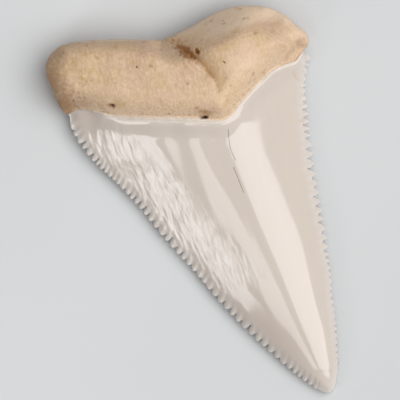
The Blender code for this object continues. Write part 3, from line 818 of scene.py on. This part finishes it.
def marks(outline, inner, outer):
    """The values that the materials read at each vertex, by name, on both sheets."""
    found = {name: stain(inner, *group) for name, group in STAINS_AND_SHADE.items()}
    distance, _, side = nearest(outline.neck, inner)
    at_root = (side > 0) | (distance < NECK_WALL / 2)
    found["pores"] = np.exp(-distance / PORES_REACH) * at_root
    # The groove's recess: ochre stain with painted shade
    groove, along, groove_side = nearest(outline.groove, inner)
    sunk = (groove_side > 0) & (groove > GROOVE_WALL / 2) & (side > 0)
    found["groove"] = np.exp(-groove / GROOVE_SHADE_REACH) * profile(GROOVE_SHADE, along) * sunk
    facet, _, facet_side = nearest(outline.facet, inner)
    found["facet"] = smooth_step(facet / FACET_FADE) * (facet_side > 0)
    # Painted highlight along the band's lower border
    lip, _, lip_side = nearest(outline.band, inner)
    found["lip"] = np.exp(-((lip - LIP_HIGHLIGHT_HALF * lip_side) / LIP_HIGHLIGHT_HALF) ** 2)
    found["crack"] = sum(nearest(crack, inner)[0] < CRACK_HALF / 2 for crack in outline.cracks)

    values = {name: np.append(here, np.zeros(len(outer))) for name, here in found.items()}
    values["pores"] += PORES_ELSEWHERE
    everywhere = np.vstack([inner, outer])
    values["edge"] = np.exp(-nearest(outline.cutting_rim, everywhere)[0] / EDGE_REACH)
    # Painted shade in the hollows between the serrations, as deep as the flutes cut
    values["painted_hollow_shade"] = flutes(outline, everywhere) / LEFT_FLUTES[1]
    values["wrinkle"] = wrinkle_zone(outline, everywhere)
    return values


def tooth_mesh(outline, shape):
    """Both sheets joined along the rim into one closed mesh, with materials by region."""
    line_step = shape.inner_step
    neck = [offset_line(outline.neck, offset, line_step) for offset in (0.0, -NECK_WALL)]
    band = [offset_line(outline.band, offset, line_step) for offset in (0.0, BAND_ROLL / 4)]
    groove = [offset_line(outline.groove, offset, line_step) for offset in (0.0, GROOVE_WALL)]
    cracks = [
        offset_line(crack, offset, line_step)
        for crack in outline.cracks for offset in (-CRACK_HALF, 0.0, CRACK_HALF)
    ]
    pits = np.vstack([
        oval(centre, length * share, width * share, turn, PIT_SIDES)
        for centre, length, width, turn, _ in PITS for share in PIT_SHARES
    ])
    rings = [
        (ring(outline, side, inset, RING_STEPS * line_step), inset / 2)
        for inset in ROOT_RINGS for side in outline.lobes
    ]
    inner_loose = [(pits, PIT_GAP), *rings]
    inner_loose.append((grid(outline, shape.edge_step, RIM_CLEAR, EDGE_ZONE), RIM_CLEAR))
    inner_loose.append((grid(outline, shape.inner_step, EDGE_ZONE, 1.0), shape.inner_step / 2))
    inner, inner_faces = sheet(outline, [*neck, *band, *groove, *cracks], inner_loose)

    outer_neck = [
        offset_line(outline.outer_neck, offset, line_step) for offset in (0.0, -NECK_WALL)]
    outer_edge = OUTER_EDGE_STEPS * shape.edge_step
    outer_loose = [*rings, (grid(outline, outer_edge, RIM_CLEAR, EDGE_ZONE), RIM_CLEAR)]
    outer_loose.append((grid(outline, shape.outer_step, EDGE_ZONE, 1.0), shape.outer_step / 2))
    outer, outer_faces = sheet(outline, outer_neck, outer_loose)

    rim_count = len(outline.rim)
    rim = rim_heights(outline, outline.rim)
    tops = inner_heights(outline, inner)
    tops[:rim_count] = rim
    bottoms = outer_heights(outline, outer)
    points = np.vstack([
        np.column_stack([inner, tops]),
        np.column_stack([outer, bottoms])[rim_count:],
    ])
    shift = len(inner) - rim_count
    lower = [
        [i if i < rim_count else i + shift for i in reversed(face)] for face in outer_faces
    ]
    mesh = bpy.data.meshes.new("tooth")
    mesh.from_pydata(points.tolist(), [], [list(face) for face in inner_faces] + lower)
    for name, values in marks(outline, inner, outer[rim_count:]).items():
        attribute = mesh.attributes.new(name, "FLOAT", "POINT")
        attribute.data.foreach_set("value", values.astype(np.float32))
    mesh.polygons.foreach_set("material_index", regions(outline, points, mesh, len(inner_faces)))
    mesh.shade_smooth()
    return mesh


def regions(outline, points, mesh, inner_count):
    """The material of each face, by its place in the tooth's list."""
    corners = np.array([tuple(face.vertices) for face in mesh.polygons])
    middles = points[corners].mean(axis=1)[:, :2]
    inner, outer = middles[:inner_count], middles[inner_count:]
    on_root = nearest(outline.neck, inner)[2] > 0
    on_band = (nearest(outline.band, inner)[2] > 0) & (inner[:, 0] > BAND_LINE[0][0])
    outer_root = nearest(outline.outer_neck, outer)[2] > 0
    return np.concatenate([
        np.where(on_root, ROOT, np.where(on_band, BAND, ENAMEL)),
        np.where(outer_root, ROOT, ENAMEL),
    ])


def add(tree, kind, inputs=None, **settings):
    """A shader node with its settings, and its inputs by name or number, linked or set."""
    made = tree.nodes.new(kind)
    for name, value in settings.items():
        setattr(made, name, value)
    for name, value in (inputs or {}).items():
        if isinstance(value, bpy.types.NodeSocket):
            tree.links.new(value, made.inputs[name])
        else:
            made.inputs[name].default_value = value
    return made


def calc(tree, operation, first, second):
    """The outcome of one sum with two values."""
    return add(tree, "ShaderNodeMath", {0: first, 1: second}, operation=operation).outputs[0]


def mapped(tree, value, low, high, start=0.0, end=1.0):
    """A value with its range from low to high moved to one from start to end."""
    inputs = {0: value, 1: low, 2: high, 3: start, 4: end}
    return add(tree, "ShaderNodeMapRange", inputs).outputs[0]


def drawn_out(tree, stretch=1.0, turn=0.0):
    """Coordinates of the tooth for a pattern that is stretched along it and turned."""
    place = add(tree, "ShaderNodeTexCoord").outputs["Object"]
    inputs = {"Vector": place, "Scale": (1.0, stretch, 1.0), "Rotation": (0.0, 0.0, turn)}
    return add(tree, "ShaderNodeMapping", inputs).outputs["Vector"]


def clouds(tree, scale, low, high, stretch=1.0, turn=0.0, detail=3.0):
    """Soft patches from 0 to 1: noise stretched between two of its own levels."""
    inputs = {"Vector": drawn_out(tree, stretch, turn), "Scale": scale, "Detail": detail}
    return mapped(tree, add(tree, "ShaderNodeTexNoise", inputs).outputs[0], low, high)


def specks(tree, scale, size):
    """Round specks from 0 to 1, about one to each cell."""
    inputs = {"Vector": drawn_out(tree), "Scale": scale}
    return mapped(tree, add(tree, "ShaderNodeTexVoronoi", inputs).outputs["Distance"], size, 0.0)


def share_of(tree, *names):
    """Where the named patterns and marks show together, from 0 to 1."""
    share = 1.0
    for name in names:
        if name in PATTERNS:
            here = clouds(tree, *PATTERNS[name])
        elif name in SPECKS:
            here = specks(tree, *SPECKS[name])
        else:
            here = add(tree, "ShaderNodeAttribute", attribute_name=name).outputs["Fac"]
        share = calc(tree, "MULTIPLY", here, share)
    return share


def layered(tree, look, base, layers):
    """The base colour with the layers laid over it."""
    colour = getattr(look, base)
    for name, places, strength in layers:
        share = calc(tree, "MULTIPLY", share_of(tree, *places), strength)
        # The colours of a mix are its inputs 6 and 7
        inputs = {0: share, 6: colour, 7: getattr(look, name)}
        colour = add(tree, "ShaderNodeMix", inputs, data_type="RGBA").outputs[2]
    return colour


def bump(tree, height, size, before=None):
    """Bumps of a strength and depth, over those made before."""
    inputs = {"Height": height, "Strength": size[0], "Distance": size[1]}
    if before is not None:
        inputs["Normal"] = before
    return add(tree, "ShaderNodeBump", inputs).outputs["Normal"]


def material(name, inputs):
    """A material whose shader inputs are made by functions of its node tree, or set."""
    made = bpy.data.materials.new(name)
    made.use_nodes = True
    tree = made.node_tree
    shader = tree.nodes["Principled BSDF"]
    for socket, value in inputs.items():
        if callable(value):
            tree.links.new(value(tree), shader.inputs[socket])
        else:
            shader.inputs[socket].default_value = value
    return made


def enamel_material(look):
    """Glossy off-white enamel: streaks down the crown, fine wrinkles with pale fibres that are partly a
    painted highlight, thin edges greyed by painted shade in the hollows between the serrations, and painted
    shade on the left flank.
    """
    def normal(tree):
        return bump(tree, share_of(tree, "fine_wrinkles", "wrinkle"), ENAMEL_BUMP)

    def roughness(tree):
        least = look.enamel_roughness
        return mapped(tree, share_of(tree, "gloss"), 0.0, 1.0, least, least + ENAMEL_SPREAD)

    return material("enamel", {
        "Base Color": lambda tree: layered(tree, look, "enamel_colour", ENAMEL_LAYERS),
        "Normal": normal,
        "Roughness": roughness,
        "IOR": ENAMEL_IOR,
    })


def band_material(look):
    """The neck band: chalky white with faint pores, and a painted highlight along its lower border."""
    def roughness(tree):
        return mapped(tree, share_of(tree, "band_patches"), 0.0, 1.0, *BAND_ROUGHNESS)

    return material("neck_band", {
        "Base Color": lambda tree: layered(tree, look, "band_colour", BAND_LAYERS),
        "Normal": lambda tree: bump(tree, share_of(tree, "band_patches"), BAND_BUMP),
        "Roughness": roughness,
    })


def root_material(look):
    """Porous tan root: mottled patches, fine pores that crowd towards the neck, stains, painted light on the
    far facet and near the neck, and painted shade at the left end and in the groove.
    """
    def normal(tree):
        coarse = bump(tree, share_of(tree, "coarse_bone"), ROOT_COARSE_BUMP)
        pores = share_of(tree, "fine_pores", "pores")
        fine = calc(tree, "SUBTRACT", share_of(tree, "bone_fibres"), pores)
        return bump(tree, fine, ROOT_FINE_BUMP, coarse)

    def roughness(tree):
        least = look.root_roughness
        return mapped(tree, share_of(tree, "bone_fibres"), 0.0, 1.0, least, least + ROOT_SPREAD)

    return material("root", {
        "Base Color": lambda tree: layered(tree, look, "root_colour", ROOT_LAYERS),
        "Normal": normal,
        "Roughness": roughness,
    })


def floor_material(stage):
    """Plain pale floor with faint patches."""
    layers = (("floor_shade", ("floor_patches",), 1.0),)
    return material("floor", {
        "Base Color": lambda tree: layered(tree, stage, "floor_colour", layers),
        "Roughness": FLOOR_ROUGHNESS,
    })


def spacing(name, description, default, least):
    """A distance between points of the mesh."""
    return bpy.props.FloatProperty(
        name=name, description=description, default=default, min=least, unit="LENGTH", precision=5)


def roughness_property(name, default):
    """A roughness that the user can change."""
    return bpy.props.FloatProperty(
        name=name, description="Lower is glossier", default=default, min=0.0, max=1.0,
        subtype="FACTOR")


def colour_property(name, description, red, green, blue):
    """A colour that the user can change."""
    return bpy.props.FloatVectorProperty(
        name=name, description=description, subtype="COLOR", size=4,
        default=(red, green, blue, 1.0), min=0.0, max=1.0)


class ToothShape(bpy.types.PropertyGroup):
    """How finely the tooth is meshed."""

    curve_step: spacing("Curve step", "Spacing of points on the smooth guide lines", 0.0002, 0.00005)
    rim_step: spacing("Rim step", "Spacing of points along the root's outline", 0.0002, 0.00005)
    inner_step: spacing("Inner step", "Spacing of points on the inner face", 0.00017, 0.0001)
    edge_step: spacing("Edge step", "Spacing of points along the serrated edges", 0.00012, 0.00008)
    outer_step: spacing("Outer step", "Spacing of points on the flat outer face", 0.00030, 0.0001)


class ToothFinish(bpy.types.PropertyGroup):
    """Colours and gloss of the enamel, the neck band and the root."""

    enamel_colour: colour_property("Enamel", "Main enamel colour", 0.61, 0.53, 0.47)
    enamel_shade: colour_property("Enamel streaks", "Greyer streaks down the crown", 0.58, 0.5, 0.44)
    enamel_warm: colour_property("Enamel patches", "Warmer patches", 0.64, 0.55, 0.46)
    # Colour of the painted shade on the enamel's upper left corner and lower left flank
    painted_flank_shade: colour_property("Shaded flank", "Darker enamel of the lower left flank", 0.52, 0.44, 0.385)
    # Pale fibres, partly a painted highlight on the wrinkled flank
    fibre_and_highlight_colour: colour_property("Enamel fibres", "Pale fibres of the wrinkled flank", 0.72, 0.65, 0.59)
    # Colour of the painted shade in the hollows between the serrations
    painted_hollow_shade_colour: colour_property("Hollows", "Grey hollows between the serrations", 0.40, 0.35, 0.32)
    edge_colour: colour_property("Edges", "Pale thin tips of the serrations", 0.78, 0.75, 0.72)
    crack_colour: colour_property("Cracks", "Hairline cracks and grey spots", 0.20, 0.16, 0.13)
    enamel_roughness: roughness_property("Enamel roughness", 0.07)
    band_colour: colour_property("Neck band", "Chalky band under the root", 0.68, 0.58, 0.50)
    # Colour of the painted highlight along the band's lower border
    lip_highlight_colour: colour_property("Band border", "Bright lower border of the band", 0.76, 0.68, 0.60)
    band_shade: colour_property("Band shade", "Darker marks on the band", 0.60, 0.50, 0.41)
    root_colour: colour_property("Root", "Main root colour", 0.57, 0.38, 0.23)
    root_pink: colour_property("Root pink", "Pinkish patches", 0.58, 0.37, 0.25)
    root_yellow: colour_property("Root yellow", "Yellowish patches", 0.55, 0.37, 0.19)
    # Also the colour of the painted shade on the root's left end
    root_brown: colour_property("Root brown", "Browner small patches", 0.36, 0.20, 0.10)
    # Paler colour painted on the far facet in place of light
    facet_painted_light: colour_property("Root facet", "Greyer facet at the far side", 0.76, 0.58, 0.43)
    # Pale bone; near the neck it is partly painted light
    root_pale: colour_property("Root pale", "Pale fibres between the pores", 0.78, 0.58, 0.40)
    pore_colour: colour_property("Pores", "Fine pores", 0.30, 0.18, 0.10)
    ochre_colour: colour_property("Ochre", "Ochre stains", 0.50, 0.33, 0.13)
    # Colour of the groove's ochre stain with painted shade
    groove_ochre_and_shade: colour_property("Groove", "Dark ochre inside the groove", 0.46, 0.32, 0.17)
    rust_colour: colour_property("Rust", "Reddish brown stains", 0.34, 0.15, 0.05)
    pit_colour: colour_property("Pits", "Inside of the pits", 0.055, 0.025, 0.012)
    root_roughness: roughness_property("Root roughness", 0.50)


class PhotoStage(bpy.types.PropertyGroup):
    """Floor, lights and camera."""

    floor_size: bpy.props.FloatProperty(
        name="Floor size", description="Side of the square floor", default=3.0, unit="LENGTH")
    floor_colour: colour_property("Floor", "Floor colour", 0.60, 0.60, 0.60)
    floor_shade: colour_property("Floor shade", "Faint patches on the floor", 0.57, 0.57, 0.57)
    view_width: bpy.props.FloatProperty(
        name="View width", description="Width that the camera sees at the tooth's edge",
        default=0.05266, unit="LENGTH", precision=5)
    lens: bpy.props.FloatProperty(
        name="Lens", description="Focal length", default=615.0, unit="CAMERA")
    roll: bpy.props.FloatProperty(
        name="Roll", description="How far the tooth leans in the picture",
        default=math.radians(14.0), subtype="ANGLE")
    key_glow: bpy.props.FloatProperty(
        name="Key softbox", description="Brightness of the large softbox on the right", default=3.4)
    strip_glow: bpy.props.FloatProperty(
        name="Strip softbox", description="Brightness of the narrow strip on the left", default=2.8)
    side_glow: bpy.props.FloatProperty(
        name="Side softbox", description="Brightness of the small softbox further left", default=4.7)
    ambient: bpy.props.FloatProperty(
        name="Ambient", description="Strength of the even light all round", default=0.115)


class SHARK_TOOTH_OT_build_tooth(bpy.types.Operator):
    """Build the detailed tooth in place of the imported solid"""

    bl_idname = "shark_tooth.build_tooth"
    bl_label = "Build Tooth"

    def execute(self, context):
        shape = context.scene.shark_tooth_shape
        finish = context.scene.shark_tooth_finish
        outline = Outline(shape.curve_step, shape.rim_step)
        mesh = tooth_mesh(outline, shape)
        for made in (enamel_material(finish), band_material(finish), root_material(finish)):
            mesh.materials.append(made)
        tooth = bpy.data.objects.new("shark_tooth", mesh)
        context.scene.collection.objects.link(tooth)
        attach(tooth, "root")
        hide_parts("tooth")
        return {"FINISHED"}


class SHARK_TOOTH_OT_set_stage(bpy.types.Operator):
    """Set the floor, the studio lights and the camera"""

    bl_idname = "shark_tooth.set_stage"
    bl_label = "Set Stage"

    def execute(self, context):
        stage = context.scene.shark_tooth_stage
        self.floor(context, stage)
        for name, *angles, distance, width, length in SOFTBOXES:
            turns = [math.radians(angle) for angle in angles]
            glow = getattr(stage, name + "_glow")
            self.softbox(context, name + "_softbox", turns, distance, width, length, glow)
        world = bpy.data.worlds.new("studio")
        world.use_nodes = True
        background = world.node_tree.nodes["Background"]
        background.inputs["Color"].default_value = (1.0, 1.0, 1.0, 1.0)
        background.inputs["Strength"].default_value = stage.ambient
        context.scene.world = world
        context.scene.view_settings.view_transform = "Standard"
        self.camera(context, stage)
        return {"FINISHED"}

    def floor(self, context, stage):
        """A square floor at the height that the tooth lies on."""
        half = stage.floor_size / 2
        mesh = bpy.data.meshes.new("floor")
        corners = [(-half, -half, 0.0), (half, -half, 0.0), (half, half, 0.0), (-half, half, 0.0)]
        mesh.from_pydata(corners, [], [(0, 1, 2, 3)])
        mesh.materials.append(floor_material(stage))
        floor = bpy.data.objects.new("floor", mesh)
        context.scene.collection.objects.link(floor)

    def softbox(self, context, name, turns, distance, width, length, glow):
        """A rectangular light that faces the tooth, placed by its tilt from straight above.

        Its power grows with its size, so that it looks as bright as its glow says.
        """
        right, rootward, spin = turns
        light = bpy.data.lights.new(name, "AREA")
        light.shape = "RECTANGLE"
        light.size, light.size_y = width, length
        light.energy = glow * math.pi * width * length
        light.color = SOFTBOX_COLOUR
        across = math.cos(rootward)
        away = Vector((math.sin(right) * across, math.sin(rootward), math.cos(right) * across))
        side = Vector((0.0, 1.0, 0.0)).cross(away).normalized()
        turn = Matrix((side, away.cross(side), away)).transposed().to_4x4()
        place = Vector(LIT_POINT) + distance * away
        softbox = bpy.data.objects.new(name, light)
        softbox.matrix_world = Matrix.Translation(place) @ turn @ Matrix.Rotation(spin, 4, "Z")
        context.scene.collection.objects.link(softbox)

    def camera(self, context, stage):
        """A camera straight above, turned as in the photo."""
        lens = bpy.data.cameras.new("camera")
        lens.lens = stage.lens
        lens.sensor_width = SENSOR
        lens.clip_start = CLIP_START
        camera = bpy.data.objects.new("camera", lens)
        height = stage.view_width * stage.lens / SENSOR + EDGE_LEVEL
        turn = Matrix.Rotation(-stage.roll, 4, "Z")
        camera.matrix_world = Matrix.Translation((*PHOTO_MIDDLE, height)) @ turn
        context.scene.collection.objects.link(camera)
        context.scene.camera = camera


class SHARK_TOOTH_PT_panel(bpy.types.Panel):
    """The tooth's mesh, finish and stage"""

    bl_label = "Fossil Shark Tooth"
    bl_idname = "SHARK_TOOTH_PT_panel"
    bl_space_type = "VIEW_3D"
    bl_region_type = "UI"
    bl_category = "Tooth"

    def draw(self, context):
        for title, group, operator in (
            ("Mesh", context.scene.shark_tooth_shape, None),
            ("Finish", context.scene.shark_tooth_finish, SHARK_TOOTH_OT_build_tooth),
            ("Stage", context.scene.shark_tooth_stage, SHARK_TOOTH_OT_set_stage),
        ):
            box = self.layout.box()
            box.label(text=title)
            for name in group.__annotations__:
                box.prop(group, name)
            if operator:
                box.operator(operator.bl_idname)


GROUPS = {
    "shark_tooth_shape": ToothShape,
    "shark_tooth_finish": ToothFinish,
    "shark_tooth_stage": PhotoStage,
}
CLASSES = (
    *GROUPS.values(), SHARK_TOOTH_OT_build_tooth, SHARK_TOOTH_OT_set_stage, SHARK_TOOTH_PT_panel,
)


def register():
    for made in CLASSES:
        bpy.utils.register_class(made)
    for name, group in GROUPS.items():
        setattr(bpy.types.Scene, name, bpy.props.PointerProperty(type=group))


def unregister():
    for name in GROUPS:
        delattr(bpy.types.Scene, name)
    for made in reversed(CLASSES):
        bpy.utils.unregister_class(made)


def main():
    """Builds the tooth and its stage."""
    register()
    bpy.ops.shark_tooth.build_tooth()
    bpy.ops.shark_tooth.set_stage()


if __name__ == "__main__":
    main()
